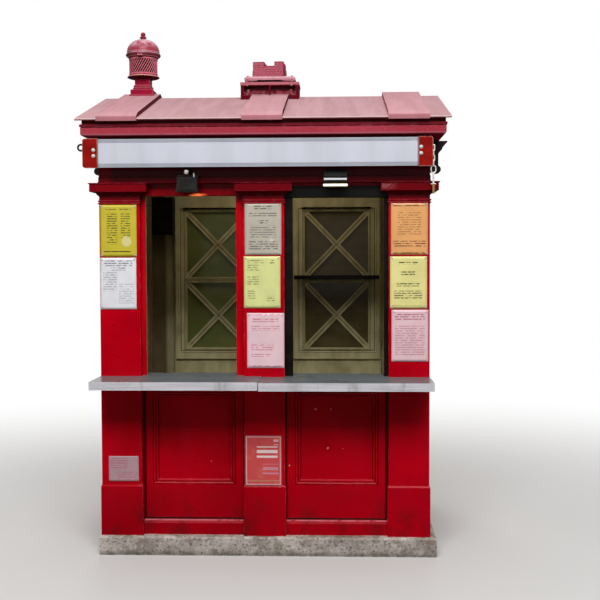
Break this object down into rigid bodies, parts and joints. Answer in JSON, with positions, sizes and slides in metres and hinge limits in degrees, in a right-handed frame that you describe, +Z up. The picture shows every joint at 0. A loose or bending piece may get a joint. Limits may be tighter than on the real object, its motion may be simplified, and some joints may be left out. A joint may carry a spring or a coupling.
{
  "type": "street kiosk",
  "caption": "Small cast-iron kiosk with a gabled roof, serving hatches over a steel counter, a roof lantern and a castle ornament on the ridge.",
  "frame": {"origin": "on the ground, at the middle of the whole part's footprint", "axes": "+Z up, -Y towards the serving side with the counter, +X to the right of someone facing that side"},
  "size_m": [2.144, 1.763, 3.161],
  "materials": {
    "cast_red": "gloss",
    "roof_red": "satin",
    "door_paint": "gloss",
    "black_timber": "satin",
    "window_paint": "satin",
    "glass": "gloss",
    "concrete": "matte",
    "floor_screed": "matte",
    "counter_steel": "satin",
    "bright_steel": "satin",
    "sign_white": "satin",
    "sign_orange": "satin",
    "raw_timber": "matte",
    "lamp_black": "matte",
    "iron_black": "satin"
  },
  "bodies": {
    "root": {"plinth": "concrete", "floor": "floor_screed", "front_left_post": "cast_red", "front_right_post": "cast_red", "back_left_post": "cast_red", "back_right_post": "cast_red", "mid_pilasters": "cast_red", "front_dados": "cast_red", "back_dados": "cast_red", "right_dado": "cast_red", "left_hatch_frame": "door_paint", "right_hatch_frame": "black_timber", "back_windows": "window_paint", "right_window": "window_paint", "window_glass": "glass", "left_door_frame": "door_paint", "left_door": "door_paint", "front_frieze": "cast_red", "back_frieze": "cast_red", "end_friezes": "cast_red", "front_cornice": "cast_red", "back_cornice": "cast_red", "left_pediment": "cast_red", "right_pediment": "cast_red", "end_hoods": "iron_black", "front_roof": "roof_red", "back_roof": "roof_red", "roof_straps": "roof_red", "lantern_base": "cast_red", "lantern_cage": "cast_red", "lantern_dome": "roof_red", "crest_pedestal": "cast_red", "crest_cushion": "roof_red", "crest_castle": "roof_red", "left_counter": "counter_steel", "right_counter": "counter_steel", "sign_panel": "sign_white", "sign_end_boards": "sign_orange", "sign_battens": "raw_timber", "sign_chain": "bright_steel", "iron_eye": "iron_black", "floodlight": "lamp_black", "strip_lamp": "lamp_black", "back_shelf": "black_timber", "corner_cabinet": "black_timber"}
  },
  "joints": []
}
